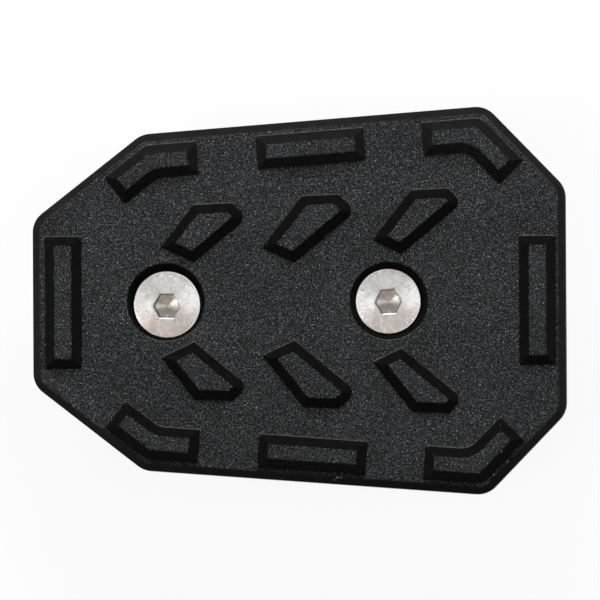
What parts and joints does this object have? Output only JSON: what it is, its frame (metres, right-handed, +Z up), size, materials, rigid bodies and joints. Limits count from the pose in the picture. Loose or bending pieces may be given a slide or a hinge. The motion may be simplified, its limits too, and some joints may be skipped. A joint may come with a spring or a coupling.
{
  "type": "motorcycle brake pedal pad",
  "caption": "Bolt-on foot pad that enlarges a motorcycle brake pedal: tapered octagonal plate with raised tread bars, countersunk screws and a clamp bar.",
  "frame": {"origin": "under the middle of the tread plate, on the surface that the clamp bar stands on", "axes": "+X along the plate to its wide end, +Z up out of the tread, +Y across the plate"},
  "size_m": [0.0958, 0.0696, 0.0248],
  "materials": {
    "grained_black_coat": "matt black coat on cast aluminium, grained on the flat faces and smooth on the flanks",
    "stainless_steel": "satin turned head, bright rim",
    "plain_black_coat": "matt black coat, smooth"
  },
  "bodies": {
    "root": {"tread_plate": "grained_black_coat", "narrow_end_screw": "stainless_steel", "wide_end_screw": "stainless_steel", "clamp_bar": "plain_black_coat"}
  },
  "joints": []
}
